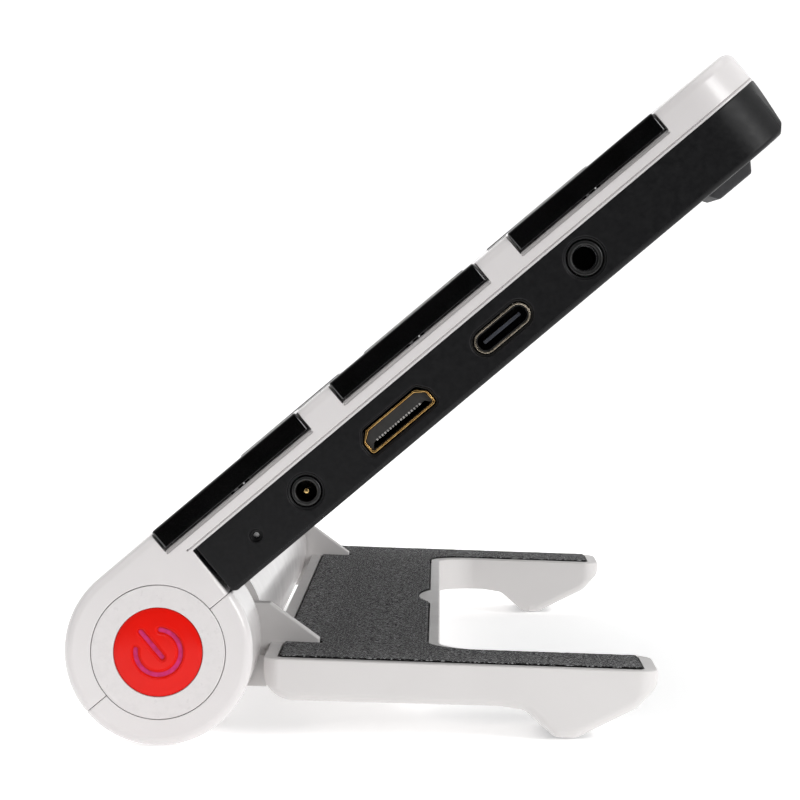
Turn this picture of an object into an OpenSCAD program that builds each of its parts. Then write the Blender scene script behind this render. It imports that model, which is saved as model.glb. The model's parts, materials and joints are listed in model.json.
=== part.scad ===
// Tilting handheld-size screen console with side keys, on a felt-lined folding U stand.
// The origin is on the table, under the middle of the whole object. X runs away from
// the player, Y along the hinge (the sockets are on the -Y end), Z is up.

/* [Console] */
// Width of the console along the hinge
unit_w = 180; // [176:1:220]
// Hinge axis to the far end of the screen housing
unit_l = 113.1; // [112:0.1:118]
// Tilt of the screen from the table
tilt = 40; // [0:1:80]
// Outer radius of the hinge barrel
barrel_r = 12.95; // [12.5:0.05:13.5]
// Plan radius of the two top corners
corner_r = 9.5; // [4:0.5:12]
// Wall of the moulded shells
wall = 1.6; // [1.4:0.1:2]

/* [Keys] */
// Length of one side key
key_l = 25.5; // [20:0.5:26]
// Distance between neighbouring keys
key_pitch = 31.6; // [30:0.1:33]
// Width of one side key
key_w = 11.5; // [8:0.5:12]
// Travel of one side key
key_travel = 0.4; // [0.2:0.1:0.4]
// Radius of the round power button
button_r = 6.1; // [5:0.1:6.5]

/* [Stand] */
// Width of the stand
base_w = 167.6; // [164:0.2:176]
// Width of one leg
leg_w = 16.9; // [14:0.1:20]
// Slope of the stand, down towards the feet
slope = 1.9; // [1.9:0.1:1.9]
// Thickness of the felt pad
felt_t = 1.2; // [0.8:0.1:1.4]

/* [Hidden] */
$fn = 96;
eps = 0.01;

// Console levels, measured square to the screen from the hinge axis
front_n = barrel_r;
split_n = 7.6;
back_n = -0.5;
board_top_n = 7.1;
board_t = 1.2;
board_n = board_top_n - board_t;
notch_n = 9.8;
key_n = 10.3;
key_proud = 0.2;
side_proud = 0.2;
glass_n = 11.8;

// Console stations, measured along the screen from the hinge axis
web_s = 12.6;
rear_s = 13.2;
draft_s = 1.2;
key_first_s = 9.95;
glass_s = [16, 108];
glass_half_w = 75.5;
rail_half_w = 76.9;
half_w = unit_w / 2;

// Barrel and hinge stations along Y, as distances from the middle
end_wall = 2.5;
cap_r = 9.2;
cavity_r = barrel_r - wall;
slot_y = [63.7, 72.2];
arm_y = [64, 66.7];
hub_y = [64, 71.9];
hub_r = 10.9;
shaft_r = 2.5;
shaft_fit = 0.05;
bracket_y = [50, 62];

// Stand stations, measured along and square to its slope from the hinge axis
tray_u = 14.0;
tray_top_v = -1.1;
tray_bottom_v = -7.1;
leg_end_u = 69.1;
bar_end_u = 38.6;
felt_u = [16.0, 67.1];
felt_top_v = -0.75;
rim = 1.7;
felt_tab_r = 27.3;
felt_tab_depth = 1.9;
foot_u = 56.3;

// Place of the hinge axis that puts the origin under the middle of the object
reach = (unit_l - draft_s) * cos(tilt) - (back_n + 1.1) * sin(tilt);
hinge_x = (barrel_r - reach) / 2;
hinge_z = barrel_r;

// Key k runs from its start along the screen
function key_s(k) = key_first_s + (k - 1) * key_pitch;

// ---- Frames ----

// Screen frame: X along the screen, Y along the hinge, Z out of the screen
module on_console()
    translate([hinge_x, 0, hinge_z]) rotate([0, -tilt, 0]) children();

// Stand frame: X towards the feet, Z square to the tray
module on_stand()
    translate([hinge_x, 0, hinge_z]) rotate([0, slope, 0]) children();

// A side outline (X, Z) made solid between two distances along Y
module across(y0, y1)
    translate([0, y1, 0]) rotate([90, 0, 0]) linear_extrude(y1 - y0) children();

// The same solid on the right (-Y) and on the left (+Y)
module both_ends() {
    children();
    mirror([0, 1, 0]) children();
}

module slab(s0, s1, y0, y1, n0, n1)
    translate([s0, y0, n0]) cube([s1 - s0, y1 - y0, n1 - n0]);

module along_y(r, y0, y1)
    translate([0, y1, 0]) rotate([90, 0, 0]) cylinder(r = r, h = y1 - y0);

// Rounded rectangle between two corners
module round_rect(x0, x1, y0, y1, r) {
    translate([x0 + r, y0]) square([x1 - x0 - 2 * r, y1 - y0]);
    translate([x0, y0 + r]) square([x1 - x0, y1 - y0 - 2 * r]);
    for (x = [x0 + r, x1 - r])
        for (y = [y0 + r, y1 - r])
            translate([x, y]) circle(r);
}

// ---- Console shells ----

// Plan of the console: square at the barrel, round at the top corners
module console_plan(s0, s1, half, r) {
    translate([s0, -half]) square([s1 - s0 - r, 2 * half]);
    translate([s0, -half + r]) square([s1 - s0, 2 * half - 2 * r]);
    for (side = [-1, 1])
        translate([s1 - r, side * (half - r)]) circle(r);
}

module front_profile() {
    edge_r = 2;
    intersection() {
        circle(barrel_r);
        translate([-barrel_r, 0]) square([2 * barrel_r, barrel_r]);
    }
    square([web_s, front_n]);
    translate([0, split_n]) square([unit_l - edge_r, front_n - split_n]);
    translate([0, split_n]) square([unit_l, front_n - split_n - edge_r]);
    translate([unit_l - edge_r, front_n - edge_r]) circle(edge_r);
}

module key_notch(k) {
    gap = 0.3;
    slab(key_s(k) - gap, key_s(k) + key_l + gap, half_w - key_w - gap, half_w + 1,
        notch_n, front_n + 1);
    translate([key_s(k) + key_l / 2, half_w - key_w / 2, split_n - 1])
        cylinder(r = 1.7, h = 4);
}

module front_shell() color("whitesmoke") on_console() difference() {
    intersection() {
        across(-half_w, half_w) front_profile();
        translate([0, 0, -1])
            linear_extrude(barrel_r + 2) console_plan(-barrel_r - 1, unit_l, half_w, corner_r);
    }
    along_y(cavity_r, -half_w + end_wall, half_w - end_wall);
    along_y(cap_r + 0.1, -half_w - 1, half_w + 1);
    slab(8, unit_l - wall, -rail_half_w, rail_half_w, split_n - 1, glass_n - 0.5);
    slab(0, cavity_r - 2, -62, 62, 0, split_n);
    slab(glass_s[0] + 1.4, glass_s[1] - 1.4, -74, 74, glass_n - 1, front_n + 1);
    translate([0, 0, glass_n]) linear_extrude(3)
        round_rect(glass_s[0] - 0.1, glass_s[1] + 0.1, -glass_half_w - 0.1,
            glass_half_w + 0.1, 3);
    both_ends() {
        for (k = [1:3]) key_notch(k);
        slab(6, web_s + 1, slot_y[0], slot_y[1], -1, 5.2);
    }
}

module rear_profile() {
    top_s = unit_l;
    polygon([[rear_s, split_n], [rear_s, back_n + 0.5], [rear_s + 0.5, back_n],
        [top_s - 2.5, back_n], [top_s - draft_s, back_n + 1.1], [top_s, split_n]]);
}

// Socket openings in the right wall, each at its place along the screen
dc_at = [29.75, 3.85];
video_at = [45.6, 3.4];
usb_at = [64.5, 3.75];
audio_at = [79.2, 3.8];
mic_at = [20.6, 3.6];
dc_r = 2.05;
audio_r = 2.45;

module video_outline(grow) {
    w = 5.6 + grow;
    polygon([[-w, -1.6 - grow], [w, -1.6 - grow], [w, 0.4], [w - 1.3, 1.6 + grow],
        [-w + 1.3, 1.6 + grow], [-w, 0.4]]);
}

module usb_outline(grow) {
    half = 4.47 + grow;
    r = 1.58 + grow;
    round_rect(-half, half, -r, r, r - 0.01);
}

// Solid made from an outline that faces the right (-Y) side, between two depths
module into_side(at, depth0, depth1)
    translate([at[0], -half_w + depth1, at[1]]) rotate([90, 0, 0])
        linear_extrude(depth1 - depth0) children();

module socket_openings() {
    into_side(dc_at, -1, 4) circle(dc_r + 0.1);
    into_side(audio_at, -1, 4) circle(audio_r + 0.1);
    into_side(video_at, -1, 4) video_outline(0.1);
    into_side(usb_at, -1, 4) usb_outline(0.1);
    into_side(mic_at, -1, 0.9) circle(0.9);
    into_side(mic_at, 0, 4) circle(0.4);
}

// Vent slots over the board and sound slots over each speaker
module rear_slots() {
    for (i = [0:7])
        slab(62 + i * 4, 63.6 + i * 4, -18, 18, back_n - 1, back_n + wall + 1);
    both_ends()
        for (i = [0:4])
            slab(44 + i * 3, 45.2 + i * 3, 52, 68, back_n - 1, back_n + wall + 1);
}

module rear_shell() color([0.12, 0.12, 0.13]) on_console() difference() {
    intersection() {
        across(-half_w, half_w) rear_profile();
        translate([0, 0, back_n - 1])
            linear_extrude(split_n - back_n + 2)
                console_plan(rear_s, unit_l, half_w, corner_r);
    }
    translate([0, 0, back_n + wall]) linear_extrude(split_n)
        console_plan(rear_s + wall, unit_l - wall - draft_s, half_w - wall, corner_r - wall);
    socket_openings();
    rear_slots();
    slab(rear_s - 1, 22, 63.7, 67, back_n - 1, 5.1);
    mirror([0, 1, 0]) slab(rear_s - 1, 22, 63.7, 67, back_n - 1, 5.1);
    for (p = screw_places) translate([p[0], p[1], back_n - 1]) cylinder(r = 1.15, h = 4);
    for (p = screw_places) translate([p[0], p[1], back_n - 1]) cylinder(r = 2.3, h = 1.8);
}

// The rear half of the barrel, in three pieces between the hinge arms
module barrel_cover(y0, y1, closed0, closed1) {
    fit = 0.05;
    difference() {
        intersection() {
            along_y(barrel_r, y0, y1);
            slab(-barrel_r, barrel_r, y0, y1, -barrel_r, -fit);
        }
        along_y(cavity_r, y0 + (closed0 ? end_wall : -1), y1 - (closed1 ? end_wall : -1));
        along_y(cap_r + 0.1, y0 - 1, y1 + 1);
    }
}

module barrel_cover_right() color("white") on_console()
    barrel_cover(-half_w, -slot_y[1], true, false);

module barrel_cover_middle() color("white") on_console()
    barrel_cover(-slot_y[0], slot_y[0], false, false);

module barrel_cover_left() color("white") on_console()
    barrel_cover(slot_y[1], half_w, false, true);

// A disc in the barrel's end, held behind the end wall by its flange
module end_disc(hole_r) rotate([90, 0, 0]) difference() {
    union() {
        translate([0, 0, half_w - end_wall - 1]) cylinder(r = cap_r, h = end_wall + 1);
        translate([0, 0, half_w - end_wall - 1.2]) cylinder(r = cap_r + 1.6, h = 1.15);
    }
    if (hole_r > 0)
        translate([0, 0, half_w - 10]) cylinder(r = hole_r, h = 12);
}

module end_cap_right() color("white") on_console() end_disc(button_r + 0.1);

module end_cap_left() color("white") on_console() mirror([0, 1, 0]) end_disc(0);

// Domed power button with a groove in the shape of a power sign
module power_button() color("red") on_console() rotate([90, 0, 0]) difference() {
    dome_r = 60;
    dome_top = half_w + side_proud;
    union() {
        intersection() {
            translate([0, 0, half_w - 5]) cylinder(r = button_r, h = 7);
            translate([0, 0, dome_top - dome_r]) sphere(dome_r, $fn = 200);
        }
        translate([0, 0, half_w - 6]) cylinder(r = button_r + 1, h = 1.3);
    }
    // Ring groove, open towards the screen, and the bar in the opening
    translate([0, 0, half_w - 0.35]) linear_extrude(2) difference() {
        circle(3.55);
        circle(2.65);
        polygon([[0, 0], [0.5, 5], [-4.2, 5], [-5, 0.6]]);
    }
    translate([0, 0, half_w - 0.35]) rotate([0, 0, 90]) linear_extrude(2)
        round_rect(-1.2, 4.3, -0.45, 0.45, 0.44);
}

// ---- Display ----

module display_glass() color([0.02, 0.02, 0.03]) on_console()
    translate([0, 0, glass_n]) linear_extrude(front_n - 0.05 - glass_n)
        round_rect(glass_s[0], glass_s[1], -glass_half_w, glass_half_w, 3);

module display_panel() color("dimgray") on_console() {
    slab(16.5, 107.5, -76, 76, 8.3, glass_n - 0.55);
    slab(17.6, 106.4, -73.8, 73.8, glass_n - 0.6, glass_n - 0.05);
}

module display_cable() color("orange") on_console()
    slab(50, 74, 20, 40, board_top_n, 8.3);

// ---- Electronics ----

module main_board() color("darkgreen") on_console() difference() {
    slab(24, 100, -half_w + wall + 0.4, 20, board_n, board_top_n);
    slab(23, 70, -40, 21, board_n - 1, board_top_n + 1);
}

module key_board() color("darkgreen") on_console()
    slab(16, 100, 77, half_w - wall - 0.4, board_n, board_top_n);

module battery_pack() color("silver") on_console()
    slab(26, 66, -38, 44, 1.2, 5.2);

module dc_socket() color([0.1, 0.1, 0.1]) on_console() {
    difference() {
        union() {
            into_side(dc_at, 0.3, 1.95) circle(dc_r);
            into_side(dc_at, 1.9, 10.5) translate([-3, -2.5]) square([6, 4.5]);
        }
        into_side(dc_at, -1, 8) circle(1.45);
    }
    into_side(dc_at, 1.2, 9) circle(0.36);
}

module video_socket() color("gold") on_console() {
    difference() {
        into_side(video_at, 0.25, 8) video_outline(0);
        into_side(video_at, -1, 7) video_outline(-0.35);
    }
    into_side(video_at, 1.2, 7.5) translate([-4.2, -0.45]) square([8.4, 0.8]);
}

module usb_socket() color("lightgray") on_console() {
    difference() {
        into_side(usb_at, 0.25, 8) usb_outline(0);
        into_side(usb_at, -1, 7) usb_outline(-0.35);
    }
    into_side(usb_at, 1.2, 7.5) translate([-3.35, -0.35]) square([6.7, 0.7]);
}

module audio_socket() color([0.08, 0.08, 0.08]) on_console() difference() {
    union() {
        into_side(audio_at, 0.3, 1.95) circle(audio_r);
        into_side(audio_at, 1.9, 13.5) translate([-3, -2.5]) square([6, 4.55]);
    }
    into_side(audio_at, -1, 12.5) circle(1.78);
}

module microphone() color("silver") on_console()
    slab(18.6, 22.6, -half_w + wall + 0.1, -half_w + wall + 1.6, 1.4, 5.6);

// Oblong speaker with a raised cone surround
module speaker() {
    difference() {
        slab(41, 61, 50, 70, back_n + wall + 0.05, 5);
        slab(44, 58, 53, 67, back_n, back_n + wall + 1);
    }
}

module speaker_left() color([0.15, 0.15, 0.15]) on_console() speaker();

module speaker_right() color([0.15, 0.15, 0.15]) on_console() mirror([0, 1, 0]) speaker();

module power_switch() color("silver") on_console() rotate([90, 0, 0]) {
    translate([-3, -3, half_w - 10.2]) cube([6, 6, 2.6]);
    translate([0, 0, half_w - 7.6]) cylinder(r = 1.6, h = 0.85);
    translate([-8.5, -8.5, half_w - 11.4]) intersection() {
        cube([17, 17, 1.2]);
        translate([8.5, 8.5, 0]) cylinder(r = 10.5, h = 2);
    }
}

// ---- Side keys ----

module side_key(k) {
    s0 = key_s(k);
    chamfer = 0.35;
    top = front_n + key_proud;
    across(half_w - key_w, half_w + side_proud)
        polygon([[s0, key_n], [s0 + key_l, key_n], [s0 + key_l, top - chamfer],
            [s0 + key_l - chamfer, top], [s0 + chamfer, top], [s0, top - chamfer]]);
    translate([s0 + key_l / 2, half_w - key_w / 2, split_n + 0.3])
        cylinder(r = 1.6, h = key_n - split_n);
}

module key_left_1() color([0.01, 0.01, 0.01]) on_console() side_key(1);
module key_left_2() color([0.01, 0.01, 0.01]) on_console() side_key(2);
module key_left_3() color([0.01, 0.01, 0.01]) on_console() side_key(3);
module key_right_1() color([0.01, 0.01, 0.01]) on_console() mirror([0, 1, 0]) side_key(1);
module key_right_2() color([0.01, 0.01, 0.01]) on_console() mirror([0, 1, 0]) side_key(2);
module key_right_3() color([0.01, 0.01, 0.01]) on_console() mirror([0, 1, 0]) side_key(3);

module key_domes() color("gray") on_console() both_ends()
    for (k = [1:3])
        translate([key_s(k) + key_l / 2, half_w - key_w / 2, board_top_n])
            cylinder(r = 2.6, h = split_n + 0.3 - key_travel - 0.05 - board_top_n);

// ---- Hinges ----

// Friction bracket on the console, closed round the shaft
module hinge_bracket() {
    difference() {
        union() {
            along_y(5, bracket_y[0], bracket_y[1]);
            slab(-5, 5, bracket_y[0], bracket_y[1], 0, 10.1);
        }
        along_y(shaft_r + shaft_fit, bracket_y[0] - 1, bracket_y[1] + 1);
    }
}

module hinge_bracket_left() color("silver") on_console() hinge_bracket();
module hinge_bracket_right() color("silver") on_console() mirror([0, 1, 0]) hinge_bracket();

module hinge_shaft()
    along_y(shaft_r, bracket_y[0] - 2, hub_y[1] - 1.5);

module hinge_shaft_left() color("silver") on_stand() hinge_shaft();
module hinge_shaft_right() color("silver") on_stand() mirror([0, 1, 0]) hinge_shaft();

// Hub on the shaft, web to the tray and the triangular gusset over the felt
module hinge_arm() difference() {
    union() {
        along_y(hub_r, hub_y[0], hub_y[1]);
        across(arm_y[0], arm_y[1])
            polygon([[0, 4.6], [13.8, 4.6], [21.1, -0.4], [21.1, -3.1], [tray_u, -3.1],
                [tray_u, -7], [8, -7], [0, -4]]);
        across(arm_y[0], hub_y[1])
            polygon([[8.6, -2.2], [tray_u, -2.2], [tray_u, -6.9], [8.4, -6.9]]);
    }
    along_y(shaft_r, hub_y[0] - 1, hub_y[1] - 1.5);
}

module hinge_arm_left() color("white") on_stand() hinge_arm();
module hinge_arm_right() color("white") on_stand() mirror([0, 1, 0]) hinge_arm();

// ---- Rear details ----

screw_places = [[18.5, 40], [18.5, -40], [106, 78], [106, -78]];

// Four blocks that keep the closed console off the table
module rear_bumpers() color([0.1, 0.1, 0.1]) on_console() both_ends() {
    across(56, 74)
        polygon([[98.5, back_n], [99.8, back_n - 2], [105.6, back_n - 2], [107, back_n]]);
    across(46, 51)
        polygon([[95.5, back_n], [96.3, back_n - 1.4], [99.2, back_n - 1.4], [100, back_n]]);
}

module case_screws() color("dimgray") on_console()
    for (p = screw_places) translate([p[0], p[1], 0]) {
        difference() {
            translate([0, 0, back_n + 0.1]) cylinder(r = 2.1, h = 0.65);
            translate([0, 0, back_n - 0.2]) cylinder(r = 0.9, h = 0.6, $fn = 6);
        }
        translate([0, 0, back_n + 0.7]) cylinder(r = 1.0, h = 5);
    }

// ---- Stand ----

// Side outline of a leg with its turned-down foot
module leg_profile() polygon([[tray_u, tray_top_v], [leg_end_u - 0.6, tray_top_v],
    [leg_end_u, tray_top_v - 0.6], [leg_end_u, -2.4], [68.4, -4.0], [66.6, -6.1],
    [58.9, -10.4], [57.6, -10.8], [55.4, -10.8], [52.9, -9.6], [50.2, -7.5], [47.6, -6.9],
    [19.0, tray_bottom_v], [16.6, -6.5], [14.8, -4.9], [tray_u, -3.2]]);

module tray_plan() {
    r = 7;
    tip_r = 3;
    half = base_w / 2;
    in_y = half - leg_w;
    translate([tray_u, -half]) square([bar_end_u - tray_u, base_w]);
    for (side = [-1, 1]) {
        scale([1, side]) {
            translate([tray_u, in_y]) square([leg_end_u - tray_u - tip_r, leg_w]);
            translate([tray_u, in_y + tip_r])
                square([leg_end_u - tray_u, leg_w - 2 * tip_r]);
            for (y = [in_y + tip_r, half - tip_r])
                translate([leg_end_u - tip_r, y]) circle(tip_r);
            // Fillet in the inner corner of the U
            difference() {
                translate([bar_end_u, in_y - r]) square([r, r + eps]);
                translate([bar_end_u + r, in_y - r]) circle(r);
            }
        }
    }
}

// Plan of the felt recess, a rim in from the edge of the tray
module felt_plan(grow) {
    r = 7;
    half = base_w / 2 - rim + grow;
    in_y = base_w / 2 - leg_w + rim - grow;
    bar_u = bar_end_u - rim + grow;
    translate([felt_u[0] - grow, -half]) square([bar_u - felt_u[0] + grow, 2 * half]);
    for (side = [-1, 1])
        scale([1, side]) {
            translate([felt_u[0] - grow, in_y])
                square([felt_u[1] - felt_u[0] + 2 * grow, half - in_y]);
            difference() {
                translate([bar_u, in_y - r]) square([r, r + eps]);
                translate([bar_u + r, in_y - r]) circle(r);
            }
        }
}

// The tab in the middle of the bar's open side and the two gusset feet cut into the felt
module felt_cutouts(grow) {
    translate([bar_end_u - rim - felt_tab_depth + felt_tab_r, 0]) circle(felt_tab_r + grow);
    for (side = [-1, 1])
        scale([1, side])
            translate([felt_u[0] - 1, arm_y[0] - 0.3 - grow])
                square([6.4 + grow, arm_y[1] - arm_y[0] + 0.6 + 2 * grow]);
}

// Foot pads sit level on the table, so their cut is made in the table's own frame
foot_pad_x = [-3.4, 3.4];
foot_pad_t = 1.0;

module foot_pad_cut(extra)
    translate([hinge_x + foot_u, 0, 0])
        across(base_w / 2 - leg_w + 2.5 - extra, base_w / 2 - 2.5 + extra)
            polygon([[foot_pad_x[0] - extra, 0], [foot_pad_x[1] + extra, 0],
                [foot_pad_x[1] + extra, foot_pad_t + 1.2], [foot_pad_x[0] - extra,
                foot_pad_t + 1.2]]);

module base_tray() color("white") difference() {
    on_stand() difference() {
        intersection() {
            across(-base_w / 2, base_w / 2) leg_profile();
            translate([0, 0, -20]) linear_extrude(20) tray_plan();
        }
        // Felt recess
        translate([0, 0, felt_top_v - felt_t]) linear_extrude(5) difference() {
            felt_plan(0.1);
            felt_cutouts(-0.1);
        }
        // Hollow under the crossbar
        slab(tray_u + 2, bar_end_u - 1.6, -base_w / 2 + leg_w, base_w / 2 - leg_w, -9, -5.2);
        // Long slots in the rail beside the barrel
        both_ends() slab(tray_u - 1, tray_u + 1.2, 6, 48, -4.6, -2.2);
        // Seats for the hinge arms
        both_ends() slab(tray_u - 1, 21.4, arm_y[0] - 0.05, arm_y[1] + 0.05, -3.15, 1);
        both_ends() translate([18, 69.5, -9]) {
            cylinder(r = 1.1, h = 6.2);
            cylinder(r = 2.0, h = 2.4);
        }
    }
    both_ends() foot_pad_cut(0.05);
}

module felt_pad() color([0.28, 0.28, 0.29]) on_stand()
    translate([0, 0, felt_top_v - felt_t]) linear_extrude(felt_t) difference() {
        felt_plan(0);
        felt_cutouts(0);
    }

module foot_pad_left() color([0.05, 0.05, 0.05]) foot_pad_cut(0);
module foot_pad_right() color([0.05, 0.05, 0.05]) mirror([0, 1, 0]) foot_pad_cut(0);

module base_screws() color("dimgray") on_stand() both_ends()
    translate([18, 69.5, -7.6]) {
        cylinder(r = 1.0, h = 4.6);
        cylinder(r = 1.9, h = 0.9);
    }

// ---- Assembly ----

front_shell();
rear_shell();
barrel_cover_right();
barrel_cover_middle();
barrel_cover_left();
end_cap_right();
end_cap_left();
display_glass();
display_panel();
display_cable();
main_board();
key_board();
battery_pack();
dc_socket();
video_socket();
usb_socket();
audio_socket();
microphone();
speaker_right();
speaker_left();
power_switch();
power_button();
key_domes();
key_right_1();
key_right_2();
key_right_3();
key_left_1();
key_left_2();
key_left_3();
hinge_bracket_right();
hinge_bracket_left();
hinge_shaft_right();
hinge_shaft_left();
hinge_arm_right();
hinge_arm_left();
rear_bumpers();
case_screws();
base_tray();
felt_pad();
foot_pad_right();
foot_pad_left();
base_screws();
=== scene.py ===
"""Looks of a tilting screen console with side keys, on a felt-lined folding stand."""

import json
import math

import bmesh
import bpy
from bpy.props import FloatProperty, FloatVectorProperty, PointerProperty
from mathutils import Matrix, Vector


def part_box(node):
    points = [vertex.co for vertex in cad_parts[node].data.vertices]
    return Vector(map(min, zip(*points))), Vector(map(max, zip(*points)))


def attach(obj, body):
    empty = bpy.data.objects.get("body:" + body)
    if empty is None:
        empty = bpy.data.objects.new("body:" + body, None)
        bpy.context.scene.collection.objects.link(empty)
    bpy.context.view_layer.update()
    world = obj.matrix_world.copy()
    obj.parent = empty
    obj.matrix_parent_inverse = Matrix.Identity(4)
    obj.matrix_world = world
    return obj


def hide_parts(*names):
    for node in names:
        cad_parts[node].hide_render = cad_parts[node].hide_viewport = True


bl_info = {
    "name": "Tilting screen console",
    "version": (1, 0, 0),
    "blender": (4, 5, 0),
    "location": "View3D > Sidebar > Console",
    "description": "Models the shells, keys, sockets and folding stand of a small screen console",
    "category": "Add Mesh",
}

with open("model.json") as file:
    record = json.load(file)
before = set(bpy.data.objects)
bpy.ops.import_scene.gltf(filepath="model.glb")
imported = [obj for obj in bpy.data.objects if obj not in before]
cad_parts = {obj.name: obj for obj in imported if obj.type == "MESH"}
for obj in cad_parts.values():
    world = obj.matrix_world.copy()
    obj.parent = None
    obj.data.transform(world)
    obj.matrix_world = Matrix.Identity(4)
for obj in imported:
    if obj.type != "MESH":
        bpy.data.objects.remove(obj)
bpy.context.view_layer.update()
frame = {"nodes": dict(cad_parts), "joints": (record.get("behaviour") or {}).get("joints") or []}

# ---- Places: every piece is modelled in millimetres in one of two frames, then set down ----

MM = 0.001
JOINTS = {joint["name"]: joint for joint in frame["joints"]}
HINGE = Vector(JOINTS["console_tilt"]["pos_m"])
PRESS_AXIS = Vector(JOINTS["key_right_1_press"]["axis"])
TILT = math.atan2(PRESS_AXIS.x, -PRESS_AXIS.z)
SLOPE = math.radians(1.9)

# Console frame: X along the screen from the hinge, Y along the hinge, Z out of the screen
CONSOLE = Matrix.Translation(HINGE) @ Matrix.Rotation(-TILT, 4, "Y") @ Matrix.Scale(MM, 4)
# Stand frame: X towards the feet, Z square to the tray
STAND = Matrix.Translation(HINGE) @ Matrix.Rotation(SLOPE, 4, "Y") @ Matrix.Scale(MM, 4)


def span(node, place=CONSOLE):
    """Lowest and highest corner of a CAD node in a piece's own frame, in millimetres."""
    back = place.inverted()
    points = [back @ v.co for v in frame["nodes"][node].data.vertices]
    low = Vector([min(p[i] for p in points) for i in range(3)])
    high = Vector([max(p[i] for p in points) for i in range(3)])
    return low, high


BARREL_R = HINGE.z / MM
HALF_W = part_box("front_shell")[1].y / MM
TOP_S = span("rear_shell")[1].x
REAR_S = span("rear_shell")[0].x
BACK_N = span("rear_shell")[0].z
SPLIT_N = span("rear_shell")[1].z
WEB_S = REAR_S - 0.6
WALL = 1.6
CAVITY_R = BARREL_R - WALL
END_WALL = 2.5
CAP_R = span("end_cap_left")[1].x - 1.6
BUTTON_R = span("power_button")[1].x - 1.0
SLOT_Y = (63.7, 72.2)
ARM_Y = (64.0, 66.7)
HUB_R = span("hinge_arm_left", STAND)[0].x * -1
CORNER_R = 9.5
PLATE_Y = 76.9
KEY_STEM_Y = 84.25
NOTCH_N = 9.8
NOTCH_SLOPE = 0.36
KEY_FOOT_N = 10.27
KEY_STEM_R = 1.6
KEY_GAP = 0.3
KEY_COUNT = 3
FEWEST_FACES = 6
SIDES = {"right": -1, "left": 1}

# Centres of the sockets in the right side, along the screen and out of it
DC_AT = (29.75, 3.85)
VIDEO_AT = (45.6, 3.4)
USB_AT = (64.5, 3.75)
AUDIO_AT = (79.2, 3.8)
MIC_AT = (20.6, 3.6)
DC_R = 2.05
AUDIO_R = 2.45
# Half width and half height of the two flat sockets
VIDEO_HALF = (5.6, 1.6)
USB_HALF = (4.47, 1.58)
SCREW_PLACES = [(18.5, 40), (18.5, -40), (106, 78), (106, -78)]

# ---- Modelling steps ----


def pick(*objects):
    if bpy.context.mode != "OBJECT":
        bpy.ops.object.mode_set(mode="OBJECT")
    bpy.ops.object.select_all(action="DESELECT")
    for o in objects:
        o.select_set(True)
    bpy.context.view_layer.objects.active = objects[0]


def enter_edit(piece):
    pick(piece)
    bpy.ops.object.mode_set(mode="EDIT")
    bpy.ops.mesh.select_mode(type="VERT")
    bpy.ops.mesh.select_all(action="SELECT")


def leave_edit():
    bpy.ops.object.mode_set(mode="OBJECT")


def arc_points(before, corner, after, radius):
    """Points of the round that replaces one corner of an outline."""
    to_before = (before - corner).normalized()
    to_after = (after - corner).normalized()
    half = to_before.angle(to_after) / 2
    middle = (to_before + to_after).normalized()
    centre = corner + middle * (radius / math.sin(half))
    start = corner + to_before * (radius / math.tan(half)) - centre
    turn = math.pi - 2 * half
    if to_before.x * to_after.y - to_before.y * to_after.x > 0:
        turn = -turn
    step = math.radians(4 if radius > 5 else 11)
    count = max(2, math.ceil(abs(turn) / step))
    return [centre + Matrix.Rotation(turn * i / count, 2) @ start for i in range(count + 1)]


def rounded(corners):
    """Outline points from corners that are (x, y) or, where the corner is round, (x, y, radius)."""
    points = []
    for i, corner in enumerate(corners):
        here = Vector(corner[:2])
        if len(corner) == 2:
            points.append(here)
            continue
        before = Vector(corners[i - 1][:2])
        after = Vector(corners[(i + 1) % len(corners)][:2])
        points += arc_points(before, here, after, corner[2])
    return points


def drawn(name, corners, low, high, along="Y"):
    """A solid drawn corner by corner in X-Z (or X-Y), then pulled along Y (or Z)."""

    def spot(p):
        return Vector((p.x, low, p.y)) if along == "Y" else Vector((p.x, p.y, low))

    flat = rounded(corners)
    points = [spot(p) for i, p in enumerate(flat) if (p - flat[i - 1]).length > 1e-5]
    bpy.ops.object.select_all(action="DESELECT")
    bpy.ops.mesh.primitive_plane_add(size=1)
    piece = bpy.context.object
    piece.name = name
    enter_edit(piece)
    bpy.ops.mesh.merge(type="CENTER")
    bpy.ops.transform.translate(value=points[0])
    for here, there in zip(points, points[1:]):
        bpy.ops.mesh.extrude_vertices_move(TRANSFORM_OT_translate={"value": there - here})
    bpy.ops.mesh.select_all(action="SELECT")
    bpy.ops.mesh.edge_face_add()
    pull = (0, high - low, 0) if along == "Y" else (0, 0, high - low)
    bpy.ops.mesh.extrude_region_move(TRANSFORM_OT_translate={"value": pull})
    bpy.ops.mesh.select_all(action="SELECT")
    bpy.ops.mesh.normals_make_consistent(inside=False)
    leave_edit()
    return piece


def block(name, low, high):
    low, high = Vector(low), Vector(high)
    bpy.ops.object.select_all(action="DESELECT")
    bpy.ops.mesh.primitive_cube_add(size=1, location=(low + high) / 2, scale=high - low)
    piece = bpy.context.object
    piece.name = name
    bpy.ops.object.transform_apply()
    return piece


def rod(name, radius, start, end, sides=64):
    """A cylinder between two points on a line along X, Y or Z."""
    start, end = Vector(start), Vector(end)
    turn = (end - start).to_track_quat("Z", "Y").to_euler()
    bpy.ops.object.select_all(action="DESELECT")
    bpy.ops.mesh.primitive_cylinder_add(
        vertices=sides, radius=radius, depth=(end - start).length,
        location=(start + end) / 2, rotation=turn)
    piece = bpy.context.object
    piece.name = name
    bpy.ops.object.transform_apply()
    return piece


def apply_modifier(piece, modifier):
    pick(piece)
    bpy.ops.object.modifier_apply(modifier=modifier.name)


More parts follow.
